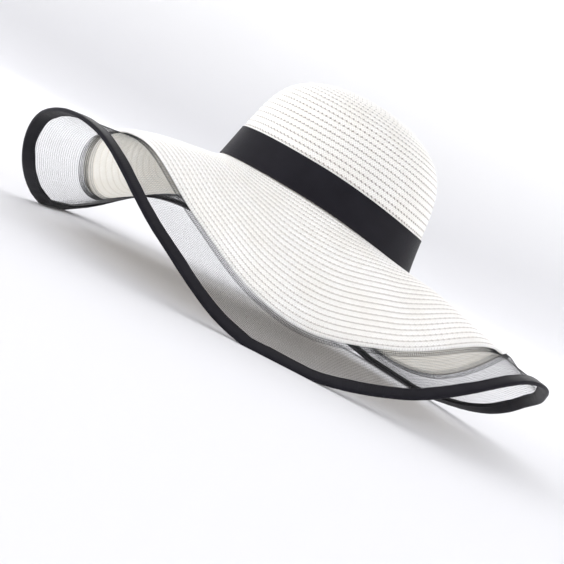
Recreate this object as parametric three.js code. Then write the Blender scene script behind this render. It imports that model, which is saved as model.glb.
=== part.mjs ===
// Floppy straw sun hat with a wide wavy brim, at rest on three low spots of its brim edge.
// Millimetres, +Z up. +X points to the back of the hat and +Y to its far side.
// A "turn" is an angle in degrees round the crown, counted from +X towards +Y.
import * as THREE from 'three';

// Crown: an oval dome of sewn straw braid.
const crownLength = 196;
const crownWidth = 170;
const crownHeight = 108.5;
const crownLean = 0.17;
const strawWall = 2;

// Brim: straw, then a border of net, then a ribbon folded over the net's edge.
const strawWidth = 122;
const netWidth = 42;
const bindingWidth = 11.5;
const netTuck = 8;
const clothWall = 1;

// Ribbon round the foot of the crown.
const bandHeight = 30;

// The crown's foot sags on one side: how deep, at which turn, over how many degrees each way, and how far out.
const footSag = 4;
const sagTurn = 325;
const sagSpread = 70;
const sagReach = 60;

// Clearance between pieces that are sewn to each other.
const seamGap = 0.3;

// How the floppy edge meets the floor: how far it gives way, and how much of the fold is pressed flat.
const edgeGive = 2.5;
const foldPressed = 0.5;

// Number of places round the hat and of steps along each section.
const turnCount = 72;
const crownSteps = 10;
const bandSteps = 2;
const strawSteps = 9;
const netSteps = 3;
const foldSteps = 8;

// Downward slope of the brim in degrees, one row for every 20 degrees of turn.
const waveRows = [
  { crown: 49, middle: 2, rim: -5, net: 32 },
  { crown: 47, middle: 32, rim: 13, net: 11 },
  { crown: 39, middle: 38, rim: 25, net: 13 },
  { crown: 29, middle: 28, rim: 25, net: 23 },
  { crown: 22, middle: 22, rim: 21, net: 23 },
  { crown: 18, middle: 14, rim: 17, net: 15 },
  { crown: 24, middle: 19, rim: 21, net: 15 },
  { crown: 37, middle: 37, rim: 33, net: 34 },
  { crown: 45, middle: 49, rim: 38, net: 36 },
  { crown: 41, middle: 44, rim: 37, net: 19 },
  { crown: 22, middle: 18, rim: 36, net: 7 },
  { crown: 18, middle: 13, rim: 23, net: 14 },
  { crown: 28, middle: 32, rim: 34, net: 30 },
  { crown: 34, middle: 50, rim: 50, net: 40 },
  { crown: 27, middle: 55, rim: 59, net: 33 },
  { crown: 8, middle: 40, rim: 51, net: 28 },
  { crown: 14, middle: 9, rim: 29, net: 5 },
  { crown: 63, middle: 3, rim: -12, net: 16 },
];

// Turns near which the edge touches the floor, and how far round each one the lowest spot may lie.
const restTurns = [270, 160, 40];
const restSearch = 24;

// Lengths that follow from the sizes above.
const brimWidth = strawWidth + netWidth + bindingWidth;
const netTop = -(strawWall + seamGap);
const netMiddle = netTop - clothWall / 2;
const foldRadius = clothWall + seamGap + clothWall / 2;
const foldCentre = brimWidth - foldRadius;
const netEnd = foldCentre - clothWall;
const margin = strawWall + seamGap;
const tuckStart = strawWidth - netTuck;
const bindingStart = brimWidth - bindingWidth;

const radians = THREE.MathUtils.degToRad;
const smooth = (value) => THREE.MathUtils.smoothstep(value, 0, 1);

// Value between four neighbouring rows on a smooth curve through the middle two.
function between(before, start, end, after, share) {
  const bend = 2 * before - 5 * start + 4 * end - after;
  const twist = 3 * start - before - 3 * end + after;
  return start + 0.5 * share * (end - before + share * (bend + share * twist));
}

// Slopes of the brim at any turn, taken from the table.
function waveAt(turn) {
  const place = THREE.MathUtils.euclideanModulo(turn / 360, 1) * waveRows.length;
  const first = Math.floor(place);
  const row = (step) => waveRows[THREE.MathUtils.euclideanModulo(first + step, waveRows.length)];
  const pick = (name) => between(row(-1)[name], row(0)[name], row(1)[name], row(2)[name], place - first);
  return { crown: pick('crown'), middle: pick('middle'), rim: pick('rim'), net: pick('net') };
}

// Slope in radians at a distance out from the crown: a parabola over the straw, then a bend into the net.
function slopeAt(wave, out) {
  const share = Math.min(out / strawWidth, 1);
  const crownPart = wave.crown * (1 - share) * (1 - 2 * share);
  const middlePart = wave.middle * 4 * share * (1 - share);
  const rimPart = wave.rim * share * (2 * share - 1);
  const bendLength = 2 * netTuck;
  const bend = smooth((out - strawWidth) / bendLength + 1 / 3);
  return radians((crownPart + middlePart + rimPart) * (1 - bend) + wave.net * bend);
}

// Point on the oval where the brim leaves the crown, with the outward direction there.
function footAt(turn) {
  const angle = radians(turn);
  const point = new THREE.Vector3(crownLength / 2 * Math.cos(angle), crownWidth / 2 * Math.sin(angle), 0);
  const outward = new THREE.Vector3(Math.cos(angle) / crownLength, Math.sin(angle) / crownWidth, 0).normalize();
  return { point, outward };
}

// How far the crown's foot sags at a turn.
function sagAt(turn) {
  const away = Math.abs(THREE.MathUtils.euclideanModulo(turn - sagTurn + 180, 360) - 180);
  return footSag * smooth(1 - away / sagSpread);
}

// Point on the upper face of the brim. Inside the foot the brim is a flat margin under the crown wall.
function brimPoint(turn, out) {
  const { point, outward } = footAt(turn);
  point.z = -sagAt(turn) * (1 - smooth(out / sagReach));
  if (out <= 0) return point.addScaledVector(outward, out);
  const wave = waveAt(turn);
  const steps = 24;
  const step = out / steps;
  let across = 0;
  let down = 0;
  for (let index = 0; index < steps; index += 1) {
    const slope = slopeAt(wave, (index + 0.5) * step);
    across += Math.cos(slope) * step;
    down += Math.sin(slope) * step;
  }
  point.addScaledVector(outward, across);
  point.z -= down;
  return point;
}

// Point at a height above the brim's upper face, along the true normal. A negative height lies below it.
function brimLayer(turn, out, height) {
  const point = brimPoint(turn, out);
  const reach = 0.5;
  const along = brimPoint(turn, out + reach).sub(brimPoint(turn, out - reach));
  const round = brimPoint(turn + reach, out).sub(brimPoint(turn - reach, out));
  const normal = along.cross(round).normalize();
  return point.addScaledVector(normal, height);
}

// Lowest middle of the edge fold near a turn, measured from a plane z = point . tilt.
function lowestNear(turn, tilt) {
  let best = null;
  for (let step = -restSearch; step <= restSearch; step += 1) {
    const point = brimLayer(turn + step, foldCentre, netMiddle);
    const height = point.z - point.x * tilt.x - point.y * tilt.y;
    if (best === null || height < best.height) best = { point, height };
  }
  return best.point;
}

// Turn and lift that set the hat on the floor, found from its three lowest spots.
function findRest() {
  let normal = new THREE.Vector3(0, 0, 1);
  let spots = [];
  for (let round = 0; round < 5; round += 1) {
    const tilt = { x: -normal.x / normal.z, y: -normal.y / normal.z };
    spots = restTurns.map((turn) => lowestNear(turn, tilt));
    normal = spots[1].clone().sub(spots[0]).cross(spots[2].clone().sub(spots[0])).normalize();
    if (normal.z < 0) normal.negate();
  }
  const spin = new THREE.Quaternion().setFromUnitVectors(normal, new THREE.Vector3(0, 0, 1));
  const lift = foldRadius - edgeGive - spots[0].clone().applyQuaternion(spin).z;
  return { spin, lift };
}

const rest = findRest();

// The same point once the hat stands on the floor.
function setDown(point) {
  const placed = point.applyQuaternion(rest.spin);
  placed.z += rest.lift;
  return placed;
}

// How far the soft edge is pushed up at a turn, so that it lies on the floor instead of sinking in.
function edgeLift(turn) {
  const lowest = setDown(brimLayer(turn, foldCentre, netMiddle)).z - foldRadius;
  return Math.max(0, -foldPressed - lowest);
}

// Point of a brim piece on the set-down hat. The lift fades to nothing at the straw's edge.
function placed(turn, out, height) {
  const point = setDown(brimLayer(turn, out, height));
  point.z += edgeLift(turn) * smooth((out - strawWidth) / (foldCentre - strawWidth));
  point.z = Math.max(point.z, 0);
  return point;
}

// Closed mesh from rings of points, each ring joined to the next one.
// An open stack is closed by a single point at its start and end; a looped stack joins last to first.
// Where a ring is listed as crossed, its four-sided cells are split along their other diagonal.
function meshFromRings(name, rings, looped, material, crossed = []) {
  const positions = [];
  const starts = rings.map((ring) => {
    const start = positions.length / 3;
    ring.forEach((point) => positions.push(point.x, point.y, point.z));
    return start;
  });
  const index = [];
  const pairs = looped ? rings.length : rings.length - 1;
  for (let ring = 0; ring < pairs; ring += 1) {
    const next = (ring + 1) % rings.length;
    const sizes = [rings[ring].length, rings[next].length];
    const count = Math.max(...sizes);
    for (let place = 0; place < count; place += 1) {
      const beside = (place + 1) % count;
      const at = (which, spot) => starts[which ? next : ring] + (sizes[which] === 1 ? 0 : spot);
      const [here, right, across, above] = [at(0, place), at(0, beside), at(1, beside), at(1, place)];
      if (crossed[ring]) {
        index.push(here, right, across, here, across, above);
        continue;
      }
      if (sizes[0] > 1) index.push(here, right, above);
      if (sizes[1] > 1) index.push(right, across, above);
    }
  }
  const geometry = new THREE.BufferGeometry();
  geometry.setAttribute('position', new THREE.Float32BufferAttribute(positions, 3));
  geometry.setIndex(index);
  geometry.computeVertexNormals();
  const mesh = new THREE.Mesh(geometry, material);
  mesh.name = name;
  return mesh;
}

const turns = Array.from({ length: turnCount }, (_, index) => index * 360 / turnCount);

// Closed ring whose section is a list of [distance out, height] corners, swept round the brim.
// Upper and under faces are split along the same diagonals, so that neighbouring pieces keep their gap.
function brimRing(name, section, material) {
  const rings = section.map(([out, height]) => turns.map((turn) => placed(turn, out, height)));
  const crossed = section.map(([out], corner) => section[(corner + 1) % section.length][0] < out);
  return meshFromRings(name, rings, true, material, crossed);
}

// Evenly spaced values from one end to the other, both included.
function spread(first, last, steps) {
  return Array.from({ length: steps + 1 }, (_, index) => first + (last - first) * index / steps);
}

// Share of the foot's radius that the crown keeps at a share of its height.
const crownShare = (rise) => (1 - crownLean * rise) * (1 - rise ** 6) ** 0.48;

// Shares of the crown's height at even steps along its outline, from the foot to the top.
function crownRises() {
  const fine = spread(0, 1, 400);
  const lengths = [0];
  for (let index = 1; index < fine.length; index += 1) {
    const across = (crownShare(fine[index]) - crownShare(fine[index - 1])) * (crownLength + crownWidth) / 4;
    const up = (fine[index] - fine[index - 1]) * crownHeight;
    lengths.push(lengths[index - 1] + Math.hypot(across, up));
  }
  const total = lengths[lengths.length - 1];
  return spread(0, total, crownSteps).map((length) => {
    const after = lengths.findIndex((value) => value >= length);
    if (after <= 0) return 0;
    const share = (length - lengths[after - 1]) / (lengths[after] - lengths[after - 1]);
    return fine[after - 1] + (fine[after] - fine[after - 1]) * share;
  });
}

// Point of the crown, a distance outside or inside its outer face.
function crownPoint(turn, rise, outside) {
  const share = crownShare(rise);
  const angle = radians(turn);
  const x = (crownLength / 2 + outside) * share * Math.cos(angle);
  const y = (crownWidth / 2 + outside) * share * Math.sin(angle);
  const z = seamGap + (crownHeight + outside - seamGap) * rise - sagAt(turn) * (1 - rise ** 2);
  return setDown(new THREE.Vector3(x, y, z));
}

// One level of the crown. The top of the dome is a single point.
function crownRing(rise, outside) {
  if (crownShare(rise) < 1e-6) return [crownPoint(0, rise, outside)];
  return turns.map((turn) => crownPoint(turn, rise, outside));
}

const strawLook = { color: 0xf3eee2, roughness: 0.7, metalness: 0 };
const ribbonLook = { color: 0x232228, roughness: 0.75, metalness: 0 };

function buildCrown() {
  const rises = crownRises();
  const inner = rises.slice().reverse().map((rise) => crownRing(rise, -strawWall));
  const outer = rises.map((rise) => crownRing(rise, 0));
  return meshFromRings('crown', [...inner, ...outer], false, new THREE.MeshStandardMaterial(strawLook));
}

function buildStrawBrim() {
  const distances = [-margin, ...spread(0, tuckStart, strawSteps), strawWidth];
  const under = distances.map((out) => [out, -strawWall]);
  const upper = distances.slice().reverse().map((out) => [out, 0]);
  return brimRing('straw_brim', [...under, ...upper], new THREE.MeshStandardMaterial(strawLook));
}

function buildHatBand() {
  const levels = spread(0, bandHeight / crownHeight, bandSteps);
  const inner = levels.slice().reverse().map((rise) => crownRing(rise, seamGap));
  const outer = levels.map((rise) => crownRing(rise, seamGap + clothWall));
  return meshFromRings('hat_band', [...inner, ...outer], true, new THREE.MeshStandardMaterial(ribbonLook));
}

function buildNetBorder() {
  const distances = [tuckStart, ...spread(strawWidth, bindingStart, netSteps), netEnd];
  const under = distances.map((out) => [out, netTop - clothWall]);
  const upper = distances.slice().reverse().map((out) => [out, netTop]);
  const look = { color: 0x4a4a4e, roughness: 0.9, metalness: 0 };
  return brimRing('mesh_border', [...under, ...upper], new THREE.MeshStandardMaterial(look));
}

function buildEdgeBinding() {
  const inside = clothWall / 2 + seamGap;
  const fold = spread(-90, 90, foldSteps).map((angle) => {
    const out = foldCentre + foldRadius * Math.cos(radians(angle));
    return [out, netMiddle + foldRadius * Math.sin(radians(angle))];
  });
  const slotEnd = netEnd + seamGap;
  const section = [
    [bindingStart, netMiddle - foldRadius],
    ...fold,
    [bindingStart, netMiddle + foldRadius],
    [bindingStart, netMiddle + inside],
    [slotEnd, netMiddle + inside],
    [slotEnd, netMiddle - inside],
    [bindingStart, netMiddle - inside],
  ];
  return brimRing('edge_binding', section, new THREE.MeshStandardMaterial(ribbonLook));
}

const hat = new THREE.Group();
hat.add(buildCrown(), buildStrawBrim(), buildHatBand(), buildNetBorder(), buildEdgeBinding());

// Centre the footprint on the origin.
const box = new THREE.Box3().setFromObject(hat);
const middle = box.getCenter(new THREE.Vector3());
hat.position.set(-middle.x, -middle.y, 0);

export default hat;
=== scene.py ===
"""Floppy straw sun hat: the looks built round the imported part.

Sizes are metres in the part's own frame: the floor is z = 0, +X points to the back of the hat
and +Y to its far side. A turn is an angle in degrees round the crown, counted from +X towards
+Y, and out is the distance along the brim from the foot of the crown.
"""

import math

import bpy
import numpy as np
from mathutils import Matrix, Vector


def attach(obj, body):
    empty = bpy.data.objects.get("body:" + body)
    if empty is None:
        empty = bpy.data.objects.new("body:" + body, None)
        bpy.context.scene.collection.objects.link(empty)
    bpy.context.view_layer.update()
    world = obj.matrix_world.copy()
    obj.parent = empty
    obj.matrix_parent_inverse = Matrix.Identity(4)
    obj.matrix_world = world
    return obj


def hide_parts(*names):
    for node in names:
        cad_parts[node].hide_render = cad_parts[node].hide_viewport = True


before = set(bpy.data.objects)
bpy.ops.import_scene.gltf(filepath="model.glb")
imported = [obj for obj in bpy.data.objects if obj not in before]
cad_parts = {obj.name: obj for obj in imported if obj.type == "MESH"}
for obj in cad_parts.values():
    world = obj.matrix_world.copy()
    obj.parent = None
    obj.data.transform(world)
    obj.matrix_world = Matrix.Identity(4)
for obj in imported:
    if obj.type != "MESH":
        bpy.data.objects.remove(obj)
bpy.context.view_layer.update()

MM = 0.001

# Sizes of the hat, as in the part's source
CROWN_LENGTH = 196 * MM
CROWN_WIDTH = 170 * MM
CROWN_HEIGHT = 108.5 * MM
CROWN_LEAN = 0.17
CROWN_SQUARENESS = 6
CROWN_ROUNDING = 0.48
STRAW_WALL = 2 * MM
STRAW_WIDTH = 122 * MM
NET_WIDTH = 42 * MM
BINDING_WIDTH = 11.5 * MM
NET_TUCK = 8 * MM
CLOTH_WALL = 1 * MM
BAND_HEIGHT = 30 * MM
FOOT_SAG = 4 * MM
SAG_TURN = 325
SAG_SPREAD = 70
SAG_REACH = 60 * MM
SEAM_GAP = 0.3 * MM
EDGE_GIVE = 2.5 * MM
FOLD_PRESSED = 0.5 * MM

# What follows from them; heights count from the straw's upper face, so the net's is negative
CROWN_RADIUS = (CROWN_LENGTH + CROWN_WIDTH) / 4
BRIM_WIDTH = STRAW_WIDTH + NET_WIDTH + BINDING_WIDTH
NET_MIDDLE = -(STRAW_WALL + SEAM_GAP + CLOTH_WALL / 2)
FOLD_RADIUS = CLOTH_WALL + SEAM_GAP + CLOTH_WALL / 2
FOLD_CENTRE = BRIM_WIDTH - FOLD_RADIUS
NET_START = STRAW_WIDTH - NET_TUCK + 0.4 * MM
NET_END = FOLD_CENTRE - CLOTH_WALL
BINDING_START = BRIM_WIDTH - BINDING_WIDTH
MARGIN = STRAW_WALL + SEAM_GAP

# Downward slope of the brim in degrees, one row for every 20 degrees of turn
# Columns: at the crown, in the middle of the straw, at the straw's rim, in the net
WAVE_ROWS = np.array([
    [49, 2, -5, 32], [47, 32, 13, 11], [39, 38, 25, 13],
    [29, 28, 25, 23], [22, 22, 21, 23], [18, 14, 17, 15],
    [24, 19, 21, 15], [37, 37, 33, 34], [45, 49, 38, 36],
    [41, 44, 37, 19], [22, 18, 36, 7], [18, 13, 23, 14],
    [28, 32, 34, 30], [34, 50, 50, 40], [27, 55, 59, 33],
    [8, 40, 51, 28], [14, 9, 29, 5], [63, 3, -12, 16],
], dtype=float)

# The edge touches the floor near these turns, and is searched so many degrees to each side
REST_TURNS = (270, 160, 40)
REST_SEARCH = 24
REST_ROUNDS = 5

# Stations: round the solid, the brim and the crown, out along the brim's slopes, up the crown's
# outline, across the veil, and over the fold of the binding
SOLID_TURNS = 72
TURN_COUNT = 560
CROWN_TURN_COUNT = 400
SLOPE_STEPS = 24
OUTLINE_STEPS = 2000
VEIL_STEPS = 14
FOLD_ANGLES = np.radians(np.linspace(-90, 90, 9))

# Sewn straw braid. A plait is drawn a little longer than the real one, so that its strands show.
BRIM_ROWS = 23
CROWN_ROWS = 30
BEAD_WIDTH = 3.2 * MM
PLAIT_LENGTH = 2.1 * MM
FEWEST_PLAITS = 8

# Profile of a sewn row, on its upper side and below: shares of its width from seam to seam, and
# the heights there in shares of the relief, which is half as deep below
ROW_SHARES = np.array([0.0, 0.16, 0.5, 0.84])
ROW_HEIGHTS = np.array([-1.0, 0.25, 0.6, 0.35])
UNDER_SHARES = np.array([0.0, 0.25, 0.75])
UNDER_HEIGHTS = np.array([-1.0, 0.2, 0.2])
ROW_RELIEF = 0.35 * MM
UNDER_RELIEF_SHARE = 0.5

# Rounded rim of the straw: places in rows from its edge, and heights in shares of the wall
RIM_PLACES = np.array([-0.12, 0.05, -0.12])
RIM_HEIGHTS = np.array([-0.92, -0.5, -0.08])

# Grosgrain ribbon. Its real ribs are half as far apart, too fine to show, so they are drawn
# coarser. Ripples are (waves round the hat, height in mm, phase in turns).
RIB_SPACING = 1.4 * MM
BAND_THICKNESS = 0.7 * MM
BAND_LOOSE = 0.6 * MM
BAND_RIPPLES = [(3, 0.35, 0.1), (5, 0.25, 0.43), (11, 0.1, 0.7)]
BINDING_THICKNESS = 0.8 * MM
INNER_FOLD_BACK = 0.3 * MM
PUCKER_RIPPLES = [(83, 0.10, 0.2), (61, 0.12, 0.6), (37, 0.14, 0.9), (19, 0.1, 0.35)]
PUCKER_SWELL = 0.6
SWAY_RIPPLES = [(23, 0.25, 0.15), (41, 0.18, 0.8), (9, 0.3, 0.5)]

# Net, and its hem doubled under the straw's edge: pitches and radii of the ribs that run round
# the hat, then of the bars that cross them. The real holes are under a millimetre and can't
# show, so the threads are drawn further apart, with stout ribs, and the veil stands for the rest.
NET_PITCHES = (1.8 * MM, 1.7 * MM)
NET_RADII = (0.10 * MM, 0.04 * MM)
HEM_START = STRAW_WIDTH - 3.2 * MM
HEM_END = STRAW_WIDTH + 3.6 * MM
HEM_MIDDLE = NET_MIDDLE - 0.35 * MM
HEM_PITCHES = (1.5 * MM, 1.5 * MM)
HEM_RADII = (0.19 * MM, 0.16 * MM)
BAR_STEP = 6 * MM

# Running stitches of the binding: in from its edge, from one to the next, how much of that the
# thread fills, its radius, and how far it stands off the ribbon
STITCH_INSET = 1.5 * MM
STITCH_PITCH = 3.2 * MM
STITCH_SHARE = 0.62
STITCH_RADIUS = 0.16 * MM
STITCH_STAND_OFF = 0.05 * MM

# Grains of the noise in the materials, given as a length shared by so many of them
STRAW_PATCH = 100 * MM / 3
STRAW_FLECK = 2 * MM
RIBBON_CLOUD = 200 * MM / 9
RIBBON_FIBRE = 10 * MM / 9
THREAD_CLOUD = 50 * MM / 3
VEIL_CLOUD = 100 * MM / 9

# Soft light panels: name, place, the way they face, width and height in metres, and watts
PANELS = [
    ("front_panel", (-0.2, -2.4, 0.22), (0.08, 1.0, 0.0), (3.4, 0.4), 14),
    ("left_panel", (-2.4, -0.7, 0.45), (1.0, 0.25, -0.05), (2.4, 0.8), 54),
    ("right_panel", (2.4, -1.0, 0.45), (-1.0, 0.35, -0.05), (2.4, 0.8), 31),
    ("back_panel", (0.2, 2.6, 1.7), (0.0, -1.0, -0.6), (3.6, 1.2), 46),
]


def smooth(value):
    """Eases from 0 to 1 with flat ends: 3 v^2 - 2 v^3 of the clipped value."""
    value = np.clip(value, 0, 1)
    return value * value * (3 - 2 * value)


def wave_at(turn):
    """Brim slopes in degrees at each turn: a Catmull-Rom curve through the table's rows, closed
    round the hat."""
    count = len(WAVE_ROWS)
    place = (turn / 360 % 1) * count
    first = np.floor(place).astype(int)
    share = (place - first)[..., None]
    before, start, end, after = (WAVE_ROWS[(first + step) % count] for step in (-1, 0, 1, 2))
    bend = 2 * before - 5 * start + 4 * end - after
    twist = 3 * start - before - 3 * end + after
    return start + 0.5 * share * (end - before + share * (bend + share * twist))


def slope_at(wave, out):
    """Slope in radians: a parabola through three slopes over the straw, then an eased bend into
    the net's slope. The bend is twice the tuck long, a third of it before the straw's rim."""
    share = np.minimum(out / STRAW_WIDTH, 1)
    crown_part = wave[..., 0] * (1 - share) * (1 - 2 * share)
    middle_part = wave[..., 1] * 4 * share * (1 - share)
    rim_part = wave[..., 2] * share * (2 * share - 1)
    bend = smooth((out - STRAW_WIDTH) / (2 * NET_TUCK) + 1 / 3)
    return np.radians((crown_part + middle_part + rim_part) * (1 - bend) + wave[..., 3] * bend)


def sag_at(turn):
    """How far the crown's foot sags at a turn: an eased bump, highest at SAG_TURN and gone
    SAG_SPREAD away from it."""
    away = np.abs((turn - SAG_TURN + 180) % 360 - 180)
    return FOOT_SAG * smooth(1 - away / SAG_SPREAD)


def brim_point(turn, out):
    """Point on the brim's upper face: the crown's sagging oval, moved outwards and down by the
    slope summed along out. The sag eases away over SAG_REACH."""
    turn, out = np.broadcast_arrays(turn, out)
    places = np.maximum(out, 0)[..., None] * (np.arange(SLOPE_STEPS) + 0.5) / SLOPE_STEPS
    slope = slope_at(wave_at(turn)[..., None, :], places)
    across = np.where(out > 0, np.cos(slope).mean(axis=-1), 1) * out
    down = np.where(out > 0, np.sin(slope).mean(axis=-1), 0) * out
    angle = np.radians(turn)
    outward = np.stack([np.cos(angle) / CROWN_LENGTH, np.sin(angle) / CROWN_WIDTH], axis=-1)
    outward /= np.linalg.norm(outward, axis=-1, keepdims=True)
    x = CROWN_LENGTH / 2 * np.cos(angle) + outward[..., 0] * across
    y = CROWN_WIDTH / 2 * np.sin(angle) + outward[..., 1] * across
    z = -down - sag_at(turn) * (1 - smooth(out / SAG_REACH))
    return np.stack([x, y, z], axis=-1)


def brim_layer(turn, out, height):
    """Point at a height above the brim's upper face, along the normal from two differences, over
    half a millimetre and half a degree to each side."""
    half = 0.5
    along = brim_point(turn, out + half * MM) - brim_point(turn, out - half * MM)
    around = brim_point(turn + half, out) - brim_point(turn - half, out)
    normal = np.cross(along, around)
    normal /= np.linalg.norm(normal, axis=-1, keepdims=True)
    return brim_point(turn, out) + normal * np.asarray(height)[..., None]


def find_rest():
    """Spin and lift that put the edge's three lowest spots on the floor: the plane through the
    spots gives the next up direction, and the spots are then found again."""
    up = np.array([0.0, 0.0, 1.0])
    search = np.arange(-REST_SEARCH, REST_SEARCH + 1.0)
    normal = up
    for _ in range(REST_ROUNDS):
        spots = []
        for turn in REST_TURNS:
            edge = brim_layer(turn + search, FOLD_CENTRE, NET_MIDDLE)
            spots.append(edge[np.argmin(edge @ normal / normal[2])])
        normal = np.cross(spots[1] - spots[0], spots[2] - spots[0])
        normal /= np.linalg.norm(normal) * np.sign(normal[2])
    spin = np.array(Vector(normal).rotation_difference(Vector(up)).to_matrix())
    lift = FOLD_RADIUS - EDGE_GIVE - (spin @ spots[0])[2]
    return spin, lift


SPIN, LIFT = find_rest()


def set_down(points):
    """The points turned and lifted onto the floor, before the hat is centred."""
    return points @ SPIN.T + np.array([0, 0, LIFT])


def pressed(turn, out, height):
    """Brim point on the set-down hat: the edge is pushed up where it would sink in, and every
    point stays above the floor."""
    lowest = set_down(brim_layer(turn, FOLD_CENTRE, NET_MIDDLE))[..., 2] - FOLD_RADIUS
    edge_lift = np.maximum(0, -FOLD_PRESSED - lowest)
    points = set_down(brim_layer(turn, out, height))
    points[..., 2] += edge_lift * smooth((out - STRAW_WIDTH) / (FOLD_CENTRE - STRAW_WIDTH))
    points[..., 2] = np.maximum(points[..., 2], 0)
    return points


def turns(count):
    """Evenly spaced turns, the last one short of a full turn."""
    return np.arange(count) * 360 / count


def find_centre():
    """Middle of the edge fold's footprint at the solid's own stations, which is the origin of
    the part's frame."""
    angle = FOLD_ANGLES[:, None]
    out = FOLD_CENTRE + FOLD_RADIUS * np.cos(angle)
    fold = pressed(turns(SOLID_TURNS), out, NET_MIDDLE + FOLD_RADIUS * np.sin(angle))
    low, high = fold.min(axis=(0, 1)), fold.max(axis=(0, 1))
    return np.array([(low[0] + high[0]) / 2, (low[1] + high[1]) / 2, 0])


CENTRE = find_centre()


def brim(turn, out, height):
    """Brim point in the part's frame."""
    return pressed(turn, out, height) - CENTRE


def crown_share(rise):
    """Share of the foot's radius kept at a share of the height: a straight lean, rounded over
    near the top by 1 minus a high power of the rise, itself raised to about a half."""
    return (1 - CROWN_LEAN * rise) * (1 - rise ** CROWN_SQUARENESS) ** CROWN_ROUNDING


def crown_rises(shares):
    """Shares of the crown's height at the given shares of its outline's length, which is summed
    from the foot to the top."""
    fine = np.linspace(0, 1, OUTLINE_STEPS + 1)
    across = np.diff(crown_share(fine)) * CROWN_RADIUS
    steps = np.hypot(across, np.diff(fine) * CROWN_HEIGHT)
    lengths = np.concatenate([[0], np.cumsum(steps)])
    return np.interp(shares * lengths[-1], lengths, fine)


def crown(turn, rise, outside):
    """Crown point: the foot's oval scaled by crown_share, with both half axes and the top moved
    by outside. The foot's sag fades with the square of the rise."""
    share = crown_share(rise)
    angle = np.radians(turn)
    top = CROWN_HEIGHT + outside
    x = (CROWN_LENGTH / 2 + outside) * share * np.cos(angle)
    y = (CROWN_WIDTH / 2 + outside) * share * np.sin(angle)
    z = SEAM_GAP + (top - SEAM_GAP) * rise - sag_at(turn) * (1 - rise ** 2)
    points = np.stack(np.broadcast_arrays(x, y, z), axis=-1)
    return set_down(points) - CENTRE


def ripple(turn, parts):
    """Sum of sines round the hat, in metres."""
    angle = np.radians(turn)
    sines = (high * np.sin(waves * angle + 2 * math.pi * phase) for waves, high, phase in parts)
    return sum(sines) * MM


def way_round(points):
    """Length of each closed ring of points: the distances from point to point, summed."""
    return np.linalg.norm(points - np.roll(points, 1, axis=-2), axis=-1).sum(axis=-1)


def linear(code):
    """sRGB hex to linear colour with full alpha."""
    channels = [int(code[place:place + 2], 16) / 255 for place in (1, 3, 5)]
    curve = [c / 12.92 if c <= 0.04045 else ((c + 0.055) / 1.055) ** 2.4 for c in channels]
    return (*curve, 1.0)


def make_mesh(name, points, faces, materials, uvs=None, material_index=None, shade=True):
    """Mesh object from a point array and face arrays of one size each, with an optional UV for
    every corner."""
    mesh = bpy.data.meshes.new(name)
    points = np.asarray(points, dtype=np.float32).reshape(-1, 3)
    corners = np.concatenate([group.reshape(-1) for group in faces])
    sizes = np.concatenate([np.full(len(group), group.shape[1]) for group in faces])
    mesh.vertices.add(len(points))
    mesh.vertices.foreach_set("co", points.reshape(-1))
    mesh.loops.add(len(corners))
    mesh.loops.foreach_set("vertex_index", corners.astype(np.int32))
    mesh.polygons.add(len(sizes))
    mesh.polygons.foreach_set("loop_start", (np.cumsum(sizes) - sizes).astype(np.int32))
    mesh.polygons.foreach_set("loop_total", sizes.astype(np.int32))
    mesh.polygons.foreach_set("use_smooth", np.full(len(sizes), shade))
    if material_index is not None:
        mesh.polygons.foreach_set("material_index", material_index.astype(np.int32))
    if uvs is not None:
        layer = mesh.uv_layers.new(name="UVMap")
        layer.data.foreach_set("uv", np.asarray(uvs, dtype=np.float32).reshape(-1))
    for material in materials:
        mesh.materials.append(material)
    mesh.update()
    mesh.validate()
    piece = bpy.data.objects.new(name, mesh)
    bpy.context.scene.collection.objects.link(piece)
    return piece


def ring_faces(levels, count, looped):
    """Quads between neighbouring levels of a grid of levels x count points that closes round the
    hat. Where it is looped, the last level meets the first as well."""
    level = np.arange(levels if looped else levels - 1)[:, None]
    spot = np.arange(count)
    here = level * count
    above = (level + 1) % levels * count
    beside = (spot + 1) % count
    corners = [here + spot, here + beside, above + beside, above + spot]
    return np.stack(corners, axis=-1).reshape(-1, 4)


def ring_uvs(count, u_scale, v_low, v_high):
    """UV corners for ring_faces: on each level's quads, u runs from 0 to that level's u_scale
    once round, and v from v_low to v_high across."""
    u = np.arange(count + 1) / count * u_scale[:, None]
    start, end = u[:, :-1], u[:, 1:]
    low = np.broadcast_to(v_low[:, None], start.shape)
    high = np.broadcast_to(v_high[:, None], start.shape)
    corners = [(start, low), (end, low), (end, high), (start, high)]
    return np.stack([np.stack(corner, axis=-1) for corner in corners], axis=2).reshape(-1, 2)


def thread_faces(threads, length, sides, closed):
    """Quads of threads stored as threads x length x sides points, each closed on itself or
    open."""
    thread = np.arange(threads)[:, None, None] * length
    spot = np.arange(length if closed else length - 1)[None, :, None]
    side = np.arange(sides)
    here = (thread + spot) * sides
    after = (thread + (spot + 1) % length) * sides
    beside = (side + 1) % sides
    corners = [here + side, after + side, after + beside, here + beside]
    return np.stack(corners, axis=-1).reshape(-1, 4)


def thread_ends(threads, length, sides):
    """Faces that close the first and the last ends of open threads."""
    first = np.arange(threads)[:, None] * length * sides + np.arange(sides)
    last = first[:, ::-1] + (length - 1) * sides
    return np.concatenate([first, last])


def join(tree, node, links):
    """Links each source, a socket or a node's first output, into the node's socket of that key."""
    for key, source in links.items():
        output = source if isinstance(source, bpy.types.NodeSocket) else source.outputs[0]
        tree.links.new(output, node.inputs[key])


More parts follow.
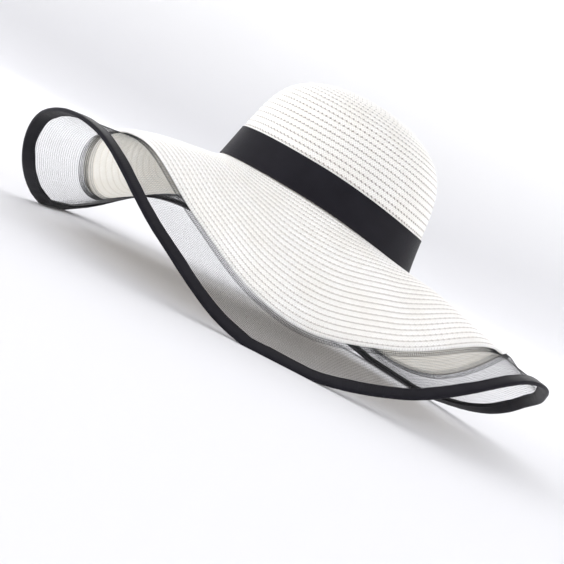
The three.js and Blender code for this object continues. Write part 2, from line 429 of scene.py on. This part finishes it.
def add(tree, kind, settings=None, links=None):
    """Adds a shader node of a kind with its settings and links, and returns it. Sockets whose
    names repeat go by number: 0, 1 and 2 are the values of a Math node, and 0, 6 and 7 are the
    share and the two colours of a Mix."""
    made = tree.nodes.new("ShaderNode" + kind)
    for key, value in (settings or {}).items():
        if isinstance(key, int) or key in made.inputs:
            made.inputs[key].default_value = value
        else:
            setattr(made, key, value)
    join(tree, made, links or {})
    return made


def new_material(name, settings):
    """Material with the settings of its Principled shader; returns it with its tree and shader."""
    material = bpy.data.materials.new(name)
    material.use_nodes = True
    tree = material.node_tree
    tree.nodes.clear()
    shader = add(tree, "BsdfPrincipled", settings)
    add(tree, "OutputMaterial", links={0: shader})
    return material, tree, shader


# Settings that many nodes share: a range with flat ends, and a mix of colours
EASED = {"interpolation_type": "SMOOTHSTEP"}
COLOURS = {"data_type": "RGBA"}


def straw_braid(name, straw, shade, seam, seam_share, pit, pit_share):
    """Bleached paper straw, plaited flat and sewn row on row. It is matt and off-white, and light
    passes through it, so that its undersides glow. Each seam is a thin painted shadow, darker where
    a stitch pulls it in, and between the seams lies a fine herringbone of strands, with painted
    shade in the crevices between them. UV: u counts plaits along a row, v counts rows."""
    material, tree, shader = new_material(name, {
        "Specular IOR Level": 0.3, "Subsurface Weight": 1.0,
        "Subsurface Radius": (1.0, 1.0, 1.0), "Subsurface Scale": 12 * MM,
    })
    split = add(tree, "SeparateXYZ", links={0: add(tree, "UVMap", {"uv_map": "UVMap"})})
    along, across = split.outputs[0], split.outputs[1]
    half_plait = add(tree, "Math", {"operation": "MULTIPLY", 1: math.pi}, {0: along})
    whole_plait = add(tree, "Math", {"operation": "MULTIPLY", 1: 2 * math.pi}, {0: along})
    scallop = add(tree, "Math", {"operation": "SINE"}, {0: whole_plait})
    stitch = add(tree, "Math", {"operation": "SINE"}, {0: half_plait})

    # Painted shadow of the seam line, in shares of a row's width, made ragged by the plaits'
    # scalloped edges
    from_seam = add(tree, "Math", {"operation": "PINGPONG", 1: 0.5}, {0: across})
    ragged = add(tree, "Math", {"operation": "MULTIPLY_ADD", 1: 0.04}, {0: scallop, 2: from_seam})
    line = add(tree, "MapRange", {**EASED, "From Min": 0.16, "From Max": 0.04}, {0: ragged})

    # Darker painted shadow in the seam's pit where a stitch pulls it in, one to every two plaits
    pulled = add(tree, "MapRange", {**EASED, "From Min": 0.35, "From Max": 0.95}, {0: stitch})
    near_seam = add(tree, "MapRange", {**EASED, "From Min": 0.2, "From Max": 0.05}, {0: from_seam})
    dot = add(tree, "Math", {"operation": "MULTIPLY"}, {0: pulled, 1: near_seam})

    # Strands that lean both ways by two plaits from seam to seam, with painted shade in the
    # crevices between them
    lean = []
    for slant in (2 * math.pi, -2 * math.pi):
        slanted = {"operation": "MULTIPLY_ADD", 1: slant}
        angle = add(tree, "Math", slanted, {0: across, 2: half_plait})
        lean.append(add(tree, "Math", {"operation": "SINE"}, {0: angle}))
    crossing = add(tree, "Math", {"operation": "MULTIPLY"}, {0: lean[0], 1: lean[1]})
    strands = add(tree, "Math", {"operation": "ABSOLUTE"}, {0: crossing})
    gap = {**EASED, "From Min": 0.3, "From Max": 0.0, "To Max": 0.6}
    crevice_shade = add(tree, "MapRange", gap, {0: strands})

    # Wide patches where the bleach took unevenly, and flecks in the paper
    place = add(tree, "TexCoord").outputs["Object"]
    patch = {"Scale": 1 / STRAW_PATCH, "Detail": 3.0, "Roughness": 0.6}
    blotch = add(tree, "TexNoise", patch, {"Vector": place})
    patchy = add(tree, "MapRange", {"From Min": 0.35, "From Max": 0.65}, {0: blotch})
    fleck = {"Scale": 1 / STRAW_FLECK, "Detail": 3.0, "Roughness": 0.7}
    speckle = add(tree, "TexNoise", fleck, {"Vector": place})
    darkest = {"From Min": 0.56, "From Max": 0.72, "To Max": 0.5}
    speck = add(tree, "MapRange", darkest, {0: speckle})

    # Straw with its random patches, then in turn the painted crevice shade, the flecks, and the
    # painted shadows of the seams and of the stitch pits
    ground = {**COLOURS, 6: linear(straw), 7: linear(shade)}
    base = add(tree, "Mix", ground, {0: patchy}).outputs[2]
    layers = [
        (crevice_shade, 0.8, seam), (speck, 0.45, seam), (line, seam_share, seam), (dot, pit_share, pit),
    ]
    for share, strength, colour in layers:
        weight = add(tree, "Math", {"operation": "MULTIPLY", 1: strength}, {0: share})
        darker = {**COLOURS, 7: linear(colour)}
        base = add(tree, "Mix", darker, {0: weight, 6: base}).outputs[2]

    rough = add(tree, "Math", {"operation": "MULTIPLY_ADD", 1: 0.16, 2: 0.56}, {0: speckle})
    grain = add(tree, "Math", {"operation": "MULTIPLY_ADD", 1: 0.3}, {0: speckle, 2: strands})
    dip = add(tree, "Math", {"operation": "MULTIPLY_ADD", 1: -0.8}, {0: dot, 2: grain})
    relief = add(tree, "Math", {"operation": "MULTIPLY_ADD", 1: -1.0}, {0: line, 2: dip})
    bump = add(tree, "Bump", {"Strength": 0.6, "Distance": 0.35 * MM}, {"Height": relief})
    join(tree, shader, {"Base Color": base, "Roughness": rough, "Normal": bump})
    return material


def woven_ribbon(name, dark, light):
    """Grosgrain ribbon, woven in black. It is matt and nearly black, with faint cross ribs, a
    slightly mottled weave, a corded edge and a soft sheen where it turns away. UV: u counts ribs,
    v is the share of the width."""
    material, tree, shader = new_material(name, {
        "Sheen Weight": 0.11, "Sheen Roughness": 0.4, "Specular IOR Level": 0.08,
    })
    split = add(tree, "SeparateXYZ", links={0: add(tree, "UVMap", {"uv_map": "UVMap"})})
    along, across = split.outputs[0], split.outputs[1]
    rib_angle = add(tree, "Math", {"operation": "MULTIPLY", 1: 2 * math.pi}, {0: along})
    rib = add(tree, "Math", {"operation": "SINE"}, {0: rib_angle})

    # Soft clouds of tone and fine fibres, with a faint stripe from the ribs
    place = add(tree, "TexCoord").outputs["Object"]
    soft = {"Scale": 1 / RIBBON_CLOUD, "Detail": 4.0, "Roughness": 0.6}
    cloud = add(tree, "TexNoise", soft, {"Vector": place})
    fine = {"Scale": 1 / RIBBON_FIBRE, "Detail": 2.0}
    fibre = add(tree, "TexNoise", fine, {"Vector": place})
    mottle = add(tree, "Math", {"operation": "MULTIPLY_ADD", 1: 0.6}, {0: fibre, 2: cloud})
    tone = add(tree, "Math", {"operation": "MULTIPLY_ADD", 1: 0.1}, {0: rib, 2: mottle})
    share = add(tree, "MapRange", {"From Min": 0.4, "From Max": 1.2}, {0: tone})
    blend = {**COLOURS, 6: linear(dark), 7: linear(light)}
    base = add(tree, "Mix", blend, {0: share}).outputs[2]

    # Raised cord within 3 % of the width from each edge, and the ribs
    rough = add(tree, "Math", {"operation": "MULTIPLY_ADD", 1: 0.2, 2: 0.55}, {0: fibre})
    selvedge = add(tree, "Math", {"operation": "PINGPONG", 1: 0.5}, {0: across})
    cord = add(tree, "MapRange", {**EASED, "From Min": 0.06, "From Max": 0.03}, {0: selvedge})
    ribs = add(tree, "Math", {"operation": "MULTIPLY_ADD", 1: 0.5}, {0: rib, 2: cord})
    relief = add(tree, "Math", {"operation": "MULTIPLY_ADD", 1: 0.4}, {0: fibre, 2: ribs})
    bump = add(tree, "Bump", {"Strength": 0.5, "Distance": 0.15 * MM}, {"Height": relief})
    join(tree, shader, {"Base Color": base, "Roughness": rough, "Normal": bump})
    return material


def nylon_thread(name, dark, light):
    """Nylon filament, drawn smooth and dyed black. It is nearly black, with a faint gloss and a
    slow change of tone along it."""
    settings = {"Roughness": 0.5, "Specular IOR Level": 0.25}
    material, tree, shader = new_material(name, settings)
    place = add(tree, "TexCoord").outputs["Object"]
    soft = {"Scale": 1 / THREAD_CLOUD, "Detail": 2.0}
    cloud = add(tree, "TexNoise", soft, {"Vector": place})
    blend = {**COLOURS, 6: linear(dark), 7: linear(light)}
    base = add(tree, "Mix", blend, {0: cloud}).outputs[2]
    join(tree, shader, {"Base Color": base})
    return material


def sheer_veil(name, colour, least, most):
    """Knitted nylon net between its drawn threads. It hides a small, slightly cloudy share of what
    lies behind it, for the filaments that are too fine to draw one by one."""
    settings = {"Base Color": linear(colour), "Roughness": 0.6}
    material, tree, shader = new_material(name, settings)
    place = add(tree, "TexCoord").outputs["Object"]
    soft = {"Scale": 1 / VEIL_CLOUD, "Detail": 2.0}
    cloud = add(tree, "TexNoise", soft, {"Vector": place})
    cover = {"From Min": 0.3, "From Max": 0.7, "To Min": least, "To Max": most}
    veil = add(tree, "MapRange", cover, {0: cloud})
    join(tree, shader, {"Alpha": veil})
    return material


def matt_paint(name, low, high, full_height):
    """Matt white studio paint, rolled on: hardly any gloss, and a touch greyer on the floor than
    at full_height up the wall."""
    settings = {"Roughness": 0.9, "Specular IOR Level": 0.1}
    material, tree, shader = new_material(name, settings)
    place = add(tree, "TexCoord").outputs["Object"]
    height = add(tree, "SeparateXYZ", links={0: place}).outputs[2]
    span = {**EASED, "From Min": 0.0, "From Max": full_height}
    share = add(tree, "MapRange", span, {0: height})
    blend = {**COLOURS, 6: linear(low), 7: linear(high)}
    base = add(tree, "Mix", blend, {0: share}).outputs[2]
    join(tree, shader, {"Base Color": base})
    return material


def row_levels(rows, shares, heights):
    """Places in rows and relief heights of the levels that draw a stack of sewn rows."""
    places = (np.arange(rows)[:, None] + shares).reshape(-1)
    return places, np.tile(heights, rows)


def plait_counts(places, lengths):
    """Plaits once round the row that holds each place: an even number, as a stitch spans two. The
    places are nudged up, so that one on a seam counts to the row that starts there."""
    row = np.floor(places + 1e-6).astype(int)
    return np.maximum(np.round(lengths[row] / PLAIT_LENGTH / 2) * 2, FEWEST_PLAITS)


def build_crown(material, inside_material):
    """Crown shell: sewn rows outside and a smoother face inside, joined at the foot and closed by
    two poles. Its levels run down inside from the last row, then up outside."""
    turn = turns(CROWN_TURN_COUNT)
    places, reliefs = row_levels(CROWN_ROWS, ROW_SHARES, ROW_HEIGHTS)
    outer_rises = crown_rises(places / CROWN_ROWS)[:, None]
    outer = crown(turn, outer_rises, (reliefs * ROW_RELIEF)[:, None])
    inner_places = np.arange(CROWN_ROWS - 1, -1, -1.0)
    inner_rises = crown_rises(inner_places / CROWN_ROWS)[:, None]
    inner = crown(turn, inner_rises, -STRAW_WALL)
    pole_height = ROW_RELIEF * 0.3
    poles = np.stack([crown(0, 1, -STRAW_WALL), crown(0, 1, pole_height)])
    points = np.concatenate([inner.reshape(-1, 3), outer.reshape(-1, 3), poles])

    levels = len(inner) + len(outer)
    quads = ring_faces(levels, CROWN_TURN_COUNT, False)
    spot = np.arange(CROWN_TURN_COUNT)
    beside = (spot + 1) % CROWN_TURN_COUNT
    last = (levels - 1) * CROWN_TURN_COUNT
    inner_top = np.full_like(spot, len(points) - 2)
    outer_top = np.full_like(spot, len(points) - 1)
    inner_cap = np.stack([inner_top, beside, spot], axis=-1)
    outer_cap = np.stack([last + spot, last + beside, outer_top], axis=-1)

    row_middles = crown_rises((np.arange(CROWN_ROWS) + 0.5) / CROWN_ROWS)
    lengths = crown_share(row_middles) * 2 * math.pi * CROWN_RADIUS
    counts = plait_counts(np.concatenate([inner_places, places[:-1]]), lengths)
    inner_v = np.arange(CROWN_ROWS, -1, -1.0)
    v_low = np.concatenate([inner_v[:-1], places[:-1]])
    v_high = np.concatenate([inner_v[1:], places[1:]])
    wall_uvs = ring_uvs(CROWN_TURN_COUNT, counts, v_low, v_high)
    cap_uvs = ring_uvs(CROWN_TURN_COUNT, counts[-1:], places[-1:], np.array([float(CROWN_ROWS)]))
    cap_uvs = cap_uvs.reshape(-1, 4, 2)[:, [0, 1, 3]]
    uvs = np.concatenate([wall_uvs, cap_uvs[:, ::-1].reshape(-1, 2), cap_uvs.reshape(-1, 2)])

    inside = np.repeat(np.arange(levels - 1) < len(inner), CROWN_TURN_COUNT)
    index = np.concatenate([inside, np.ones(len(spot)), np.zeros(len(spot))])
    faces = [quads, inner_cap, outer_cap]
    return make_mesh("crown_braid", points, faces, (material, inside_material), uvs, index)


def row_out(place):
    """Distance out at a place in rows: equal rows, but for the outermost, a narrow bead."""
    pitch = (STRAW_WIDTH - BEAD_WIDTH) / (BRIM_ROWS - 1)
    bead_out = STRAW_WIDTH + (place - BRIM_ROWS) * BEAD_WIDTH
    return np.where(place < BRIM_ROWS - 1, place * pitch, bead_out)


def build_brim(material, underside):
    """Brim shell: a looped section of sewn rows, with a rounded rim and a flat margin under the
    crown's wall. Its levels run outwards below and back inwards above."""
    turn = turns(TURN_COUNT)
    under_places, under_reliefs = row_levels(BRIM_ROWS, UNDER_SHARES, UNDER_HEIGHTS)
    over_places, over_reliefs = row_levels(BRIM_ROWS, ROW_SHARES, ROW_HEIGHTS)
    # No relief at the crown's foot, so that the margin is flat
    under_reliefs[0] = 0
    over_reliefs[0] = 0
    margin_place = -MARGIN / row_out(1.0)
    places = np.concatenate([
        [margin_place], under_places, BRIM_ROWS + RIM_PLACES, over_places[::-1], [margin_place],
    ])
    heights = np.concatenate([
        [-STRAW_WALL], -STRAW_WALL - under_reliefs * ROW_RELIEF * UNDER_RELIEF_SHARE,
        RIM_HEIGHTS * STRAW_WALL, over_reliefs[::-1] * ROW_RELIEF, [0],
    ])
    points = brim(turn, row_out(places)[:, None], heights[:, None])
    levels = len(places)
    quads = ring_faces(levels, TURN_COUNT, True)

    looped = np.append(places, places[0])
    row = np.clip(np.floor((looped[:-1] + looped[1:]) / 2), 0, BRIM_ROWS - 1)
    row_middles = row_out(np.arange(BRIM_ROWS) + 0.5)[:, None]
    counts = plait_counts(row, way_round(brim(turn, row_middles, 0)))
    v = np.clip(looped, 0, BRIM_ROWS - 0.5)
    uvs = ring_uvs(TURN_COUNT, counts, v[:-1], v[1:])
    below = np.repeat(np.arange(levels) < len(under_places) + 1, TURN_COUNT)
    return make_mesh("brim_braid", points, [quads], (material, underside), uvs, below)


def build_band(material):
    """Ribbon round the crown: a looped flat section that hugs the crown above and stands off a
    little below, by the square of the share of its height, with slight ripples and a thicker
    woven edge."""
    turn = turns(CROWN_TURN_COUNT)
    shares = np.array([0, 0.015, 0.05, 0.2, 0.4, 0.6, 0.8, 0.95, 0.985, 1.0])
    edge_bead = np.array([0.0, 0.15, 0, 0, 0, 0, 0, 0, 0.15, 0.0]) * MM
    loose = ripple(turn, BAND_RIPPLES) + BAND_LOOSE
    stand_off = SEAM_GAP + (1 - shares[:, None]) ** 2 * loose
    rises = (shares * BAND_HEIGHT / CROWN_HEIGHT)[:, None]
    inner = crown(turn, rises[::-1], stand_off[::-1])
    outer = crown(turn, rises, stand_off + BAND_THICKNESS + edge_bead[:, None])
    points = np.concatenate([inner, outer])
    levels = len(points)
    v = np.concatenate([shares[::-1], shares, shares[-1:]])
    ribs = np.full(levels, round(2 * math.pi * CROWN_RADIUS / RIB_SPACING))
    uvs = ring_uvs(CROWN_TURN_COUNT, ribs, v[:-1], v[1:])
    quads = ring_faces(levels, CROWN_TURN_COUNT, True)
    return make_mesh("ribbon_band", points, [quads], (material,), uvs)


def folded(leaf_out, leaf_side, centre, radius, angles):
    """U-shaped line as places out and to the side: along the lower leaf, round a half circle at
    the fold and back along the upper leaf."""
    out = np.concatenate([leaf_out, centre + radius * np.cos(angles), leaf_out[::-1]])
    side = np.concatenate([-leaf_side, radius * np.sin(angles), leaf_side[::-1]])
    return out, side


def build_binding(material):
    """Ribbon folded over the net's edge: a looped section of two U-shaped lines round the fold,
    with fine puckers and a slight sway of its free edges from the sewing."""
    turn = turns(TURN_COUNT)
    leaf = np.array([0, 0.03, 0.12, 0.4, 0.7])
    leaf_out = BINDING_START + (FOLD_CENTRE - BINDING_START) * leaf
    leaf_drop = np.array([0.35, 0.0, 0.12, 0.0, 0.0]) * MM
    outer_out, outer_side = folded(
        leaf_out, FOLD_RADIUS - leaf_drop, FOLD_CENTRE, FOLD_RADIUS, FOLD_ANGLES)
    inner_radius = FOLD_RADIUS - BINDING_THICKNESS
    inner_out, inner_side = folded(
        leaf_out, np.full(len(leaf), inner_radius), FOLD_CENTRE - INNER_FOLD_BACK, inner_radius,
        FOLD_ANGLES[::2])
    out = np.concatenate([outer_out, inner_out[::-1]])
    side = np.concatenate([outer_side, inner_side[::-1]])
    swell = np.abs(ripple(turn, PUCKER_RIPPLES)) * PUCKER_SWELL
    sway = ripple(turn, SWAY_RIPPLES)
    free = 1 - smooth((out - BINDING_START) / BINDING_WIDTH)
    height = NET_MIDDLE + side[:, None] + np.sign(side)[:, None] * swell
    points = brim(turn, out[:, None] + sway * free[:, None], height)
    levels = len(out)
    walk = np.concatenate([[0], np.cumsum(np.hypot(np.diff(out), np.diff(side)))])
    v = walk / walk[len(outer_out) - 1]
    length = way_round(brim(turn, FOLD_CENTRE, NET_MIDDLE))
    ribs = np.full(levels, round(length / RIB_SPACING))
    uvs = ring_uvs(TURN_COUNT, ribs, v, np.append(v[1:], v[-1]))
    quads = ring_faces(levels, TURN_COUNT, True)
    return make_mesh("ribbon_binding", points, [quads], (material,), uvs)


def build_veil(material):
    """The net's sheer ground: one thin surface from under the straw to inside the binding."""
    turn = turns(TURN_COUNT // 2)
    out = np.linspace(NET_START, NET_END, VEIL_STEPS + 1)[:, None]
    points = brim(turn, out, NET_MIDDLE)
    quads = ring_faces(len(out), len(turn), False)
    return make_mesh("net_veil", points, [quads[:, ::-1]], (material,))


def build_net_threads(name, first, last, height, pitches, radii, material):
    """Ribs that run round the hat and bars that cross them, each a three-sided thread on the brim
    surface, with its corners at 90, 210 and 330 degrees round its middle."""
    turn = turns(TURN_COUNT)
    corner = np.radians([90, 210, 330])
    rib_pitch, bar_pitch = pitches
    rib_radius, bar_radius = radii
    rib_count = int(round((last - first) / rib_pitch)) + 1
    rib_out = np.linspace(first, last, rib_count)[:, None, None]
    ribs = brim(
        turn[None, :, None], rib_out + rib_radius * np.cos(corner),
        height + rib_radius * np.sin(corner))
    length = way_round(brim(turn, (first + last) / 2, height))
    bar_turn = turns(int(round(length / bar_pitch)))
    bar_steps = max(2, int((last - first) / BAR_STEP))
    bar_out = np.linspace(first, last, bar_steps + 1)
    shift = bar_radius / length * 360
    bars = brim(
        bar_turn[:, None, None] + shift * np.cos(corner), bar_out[None, :, None],
        height + bar_radius * np.sin(corner))
    points = np.concatenate([ribs.reshape(-1, 3), bars.reshape(-1, 3)])
    before = ribs.size // 3
    rib_faces = thread_faces(rib_count, TURN_COUNT, len(corner), True)
    bar_faces = thread_faces(len(bar_turn), len(bar_out), len(corner), False) + before
    bar_ends = thread_ends(len(bar_turn), len(bar_out), len(corner)) + before
    faces = [rib_faces, bar_faces[:, ::-1], bar_ends[:, ::-1]]
    return make_mesh(name, points, faces, (material,), shade=False)


def build_stitches(name, side, material):
    """Running stitches above the binding where side is 1, or below it where side is -1. Each is a
    short four-sided thread that dips into the ribbon at both ends."""
    out = BINDING_START + STITCH_INSET
    height = NET_MIDDLE + side * (FOLD_RADIUS + STITCH_STAND_OFF)
    length = way_round(brim(turns(TURN_COUNT), out, height))
    count = int(round(length / STITCH_PITCH))
    reach = 360 / count * STITCH_SHARE
    along = np.array([0, 0.15, 0.5, 0.85, 1.0])
    rise = np.array([-1.6, 0.1, 0.5, 0.1, -1.6]) * STITCH_RADIUS
    corner = np.radians([45, 135, 225, 315])
    turn = turns(count)[:, None, None] + (reach * along)[None, :, None]
    points = brim(
        turn, out + STITCH_RADIUS * np.cos(corner),
        height + side * rise[:, None] + STITCH_RADIUS * np.sin(corner))
    quads = thread_faces(count, len(along), len(corner), False)
    ends = thread_ends(count, len(along), len(corner))
    return make_mesh(name, points, [quads, ends], (material,))


def build_floor():
    """Seamless pale sweep: a round floor whose rim curves up by a quarter circle into a wall, far
    outside every camera."""
    radius = 4.5
    curve = 1.5
    wall_top = 3.2
    inner_rings = [0.6, 2.0]
    count = 96
    angle = np.linspace(0, math.pi / 2, 13)
    reach = np.concatenate([inner_rings, radius - curve + curve * np.sin(angle), [radius]])
    rise = np.concatenate([[0, 0], curve - curve * np.cos(angle), [wall_top]])
    spin = np.radians(turns(count))
    x = reach[:, None] * np.cos(spin)
    y = reach[:, None] * np.sin(spin)
    points = np.stack(np.broadcast_arrays(x, y, rise[:, None]), axis=-1)
    quads = ring_faces(len(reach), count, False)
    centre = np.arange(count)[None, :]
    paint = matt_paint("matt_white_studio_paint", low="#dfdfe2", high="#fdfdfd", full_height=0.8)
    floor = make_mesh("studio_floor", points, [quads[:, ::-1], centre], (paint,))


def add_light(name, kind, aim, power):
    """Light of a kind that faces along aim; returns its object. Its power is in watts, or for a
    sun in watts to the square metre."""
    data = bpy.data.lights.new(name, kind)
    data.energy = power
    light = bpy.data.objects.new(name, data)
    light.rotation_euler = Vector(aim).to_track_quat("-Z", "Y").to_euler()
    bpy.context.scene.collection.objects.link(light)
    return light


def build_light():
    """Weak soft sun from the upper left, low panels on both sides and in front that reach under
    the brim, and a high one behind that shines through the straw. No panel shows in the picture."""
    key = add_light("soft_key", "SUN", aim=(0.6, 0.6, -0.9), power=0.15)
    key.data.angle = math.radians(60)
    for name, place, aim, size, watts in PANELS:
        panel = add_light(name, "AREA", aim, watts)
        panel.data.shape = "RECTANGLE"
        panel.data.size, panel.data.size_y = size
        panel.location = place
        panel.visible_camera = False


def build_world():
    """Even pale light from all round, and whites shown as they are."""
    world = bpy.data.worlds.new("studio")
    world.use_nodes = True
    background = world.node_tree.nodes["Background"]
    background.inputs["Color"].default_value = linear("#fafafc")
    background.inputs["Strength"].default_value = 0.86
    bpy.context.scene.world = world
    bpy.context.scene.view_settings.view_transform = "Standard"


def build_camera():
    """Camera at the photograph's view: azimuth and elevation of the line of sight, then a roll of
    the picture. It looks at a point a little right of and above the origin."""
    azimuth = math.radians(-6.94)
    elevation = math.radians(3.82)
    roll = math.radians(28.16)
    distance = 1.52
    focal_pixels = 1688.6
    picture_pixels = 564
    aim_right = 0.0048
    aim_up = 0.0419
    level = math.cos(elevation)
    back = Vector((math.sin(azimuth) * level, -math.cos(azimuth) * level, math.sin(elevation)))
    right = Vector((math.cos(azimuth), math.sin(azimuth), 0))
    up = back.cross(right)
    data = bpy.data.cameras.new("camera")
    data.sensor_width = 36
    data.lens = data.sensor_width * focal_pixels / picture_pixels
    data.clip_start = 0.05
    data.clip_end = 50
    camera = bpy.data.objects.new("camera", data)
    camera_x = right * math.cos(roll) + up * math.sin(roll)
    camera_y = up * math.cos(roll) - right * math.sin(roll)
    camera.matrix_world = Matrix((camera_x, camera_y, back)).transposed().to_4x4()
    camera.location = right * aim_right + up * aim_up + back * distance
    bpy.context.scene.collection.objects.link(camera)
    bpy.context.scene.camera = camera


def main():
    """Makes the materials, the hat's pieces and the studio, and ties the pieces to the part."""
    # The crown and the brim are one straw: the crown's copy paints its seam shadows as fainter
    # lines with much darker pits than the brim's
    crown_straw = straw_braid(
        "bleached_paper_straw_crown", straw="#fdfbf6", shade="#f7f3eb",
        seam="#a8988f", seam_share=0.42, pit="#5a4e49", pit_share=0.95)
    brim_straw = straw_braid(
        "bleached_paper_straw_brim", straw="#fdfbf6", shade="#f7f3eb",
        seam="#ac9e95", seam_share=0.5, pit="#7d716a", pit_share=0.6)
    # The underside and the crown's inside are the same straw, tinted warm cream as a painted glow
    # of the light that shines through it, with fainter painted seam shadows
    under_straw = straw_braid(
        "paper_straw_underside", straw="#fbf5e8", shade="#f5eddf",
        seam="#cbbda6", seam_share=0.3, pit="#c2b49c", pit_share=0.2)
    band_ribbon = woven_ribbon("black_grosgrain_band", dark="#0d0c11", light="#1a191f")
    edge_ribbon = woven_ribbon("black_grosgrain_binding", dark="#100f14", light="#1a191f")
    net_thread = nylon_thread("black_nylon_net", dark="#121214", light="#1c1c1f")
    sewing_thread = nylon_thread("black_sewing_thread", dark="#1d1d21", light="#2b2b30")
    net_film = sheer_veil("sheer_net_veil", "#1a1a1d", least=0.07, most=0.11)

    crown_braid = build_crown(crown_straw, under_straw)
    brim_braid = build_brim(brim_straw, under_straw)
    band = build_band(band_ribbon)
    binding = build_binding(edge_ribbon)
    veil = build_veil(net_film)
    threads = build_net_threads(
        "net_threads", NET_START, NET_END, NET_MIDDLE, NET_PITCHES, NET_RADII, net_thread)
    hem = build_net_threads(
        "net_hem", HEM_START, HEM_END, HEM_MIDDLE, HEM_PITCHES, HEM_RADII, net_thread)
    stitches = [
        build_stitches("binding_stitches_above", 1, sewing_thread),
        build_stitches("binding_stitches_below", -1, sewing_thread),
    ]

    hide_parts("crown")
    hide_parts("straw_brim")
    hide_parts("hat_band")
    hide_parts("mesh_border")
    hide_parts("edge_binding")
    slots = [(crown_braid, "straw_braid"), (brim_braid, "straw_braid")]
    slots += [(band, "ribbon"), (binding, "ribbon")]
    slots += [(piece, "net") for piece in (veil, threads, hem)]
    slots += [(piece, "ribbon") for piece in stitches]
    for piece, slot in slots:
        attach(piece, "root")

    build_floor()
    build_world()
    build_light()
    build_camera()


main()
